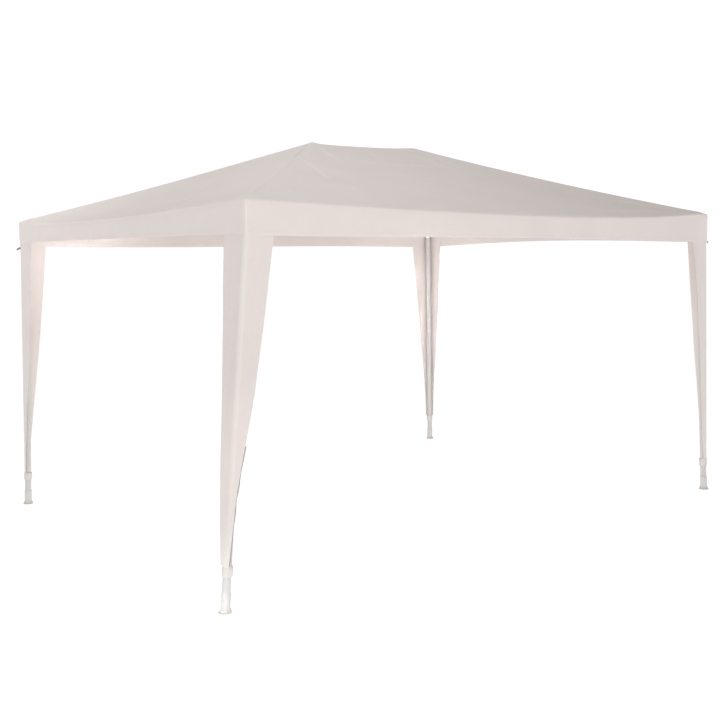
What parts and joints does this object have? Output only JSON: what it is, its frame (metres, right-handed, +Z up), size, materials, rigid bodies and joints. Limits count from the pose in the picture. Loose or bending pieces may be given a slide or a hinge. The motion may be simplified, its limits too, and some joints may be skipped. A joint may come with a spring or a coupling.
{
  "type": "garden gazebo",
  "caption": "Free-standing garden gazebo: a rectangular steel tube frame under a pale woven cover with a hip roof, a straight valance and tapering leg skirts.",
  "frame": {"origin": "on the ground, at the centre of the rectangle that the four feet fill", "axes": "+X along the long side, towards the right seen from the front; +Y from the front to the back; +Z up"},
  "size_m": [4.255, 3.106, 2.578],
  "materials": {
    "cover": "matt woven sheet, off-white with a warm tint",
    "tube": "off-white powder coat",
    "connector": "off-white powder coat",
    "foot": "moulded, matt, pale grey",
    "loop": "dark woven webbing"
  },
  "bodies": {
    "root": {"foot_front_left": "foot", "foot_front_right": "foot", "foot_back_left": "foot", "foot_back_right": "foot", "leg_lower_front_left": "tube", "leg_lower_front_right": "tube", "leg_lower_back_left": "tube", "leg_lower_back_right": "tube", "leg_upper_front_left": "tube", "leg_upper_front_right": "tube", "leg_upper_back_left": "tube", "leg_upper_back_right": "tube", "corner_connector_front_left": "connector", "corner_connector_front_right": "connector", "corner_connector_back_left": "connector", "corner_connector_back_right": "connector", "eave_rail_front_left": "tube", "eave_rail_front_right": "tube", "eave_rail_back_left": "tube", "eave_rail_back_right": "tube", "eave_rail_left_front": "tube", "eave_rail_left_back": "tube", "eave_rail_right_front": "tube", "eave_rail_right_back": "tube", "hip_rafter_front_left": "tube", "hip_rafter_front_right": "tube", "hip_rafter_back_left": "tube", "hip_rafter_back_right": "tube", "ridge_tube": "tube", "ridge_connector_left": "connector", "ridge_connector_right": "connector", "roof_front": "cover", "roof_back": "cover", "roof_left": "cover", "roof_right": "cover", "valance_front": "cover", "valance_back": "cover", "valance_left": "cover", "valance_right": "cover", "leg_skirt_front_left": "cover", "leg_skirt_front_right": "cover", "leg_skirt_back_left": "cover", "leg_skirt_back_right": "cover", "guy_loop_front_right": "loop", "guy_loop_back_left": "loop", "guy_loop_back_right": "loop"}
  },
  "joints": []
}
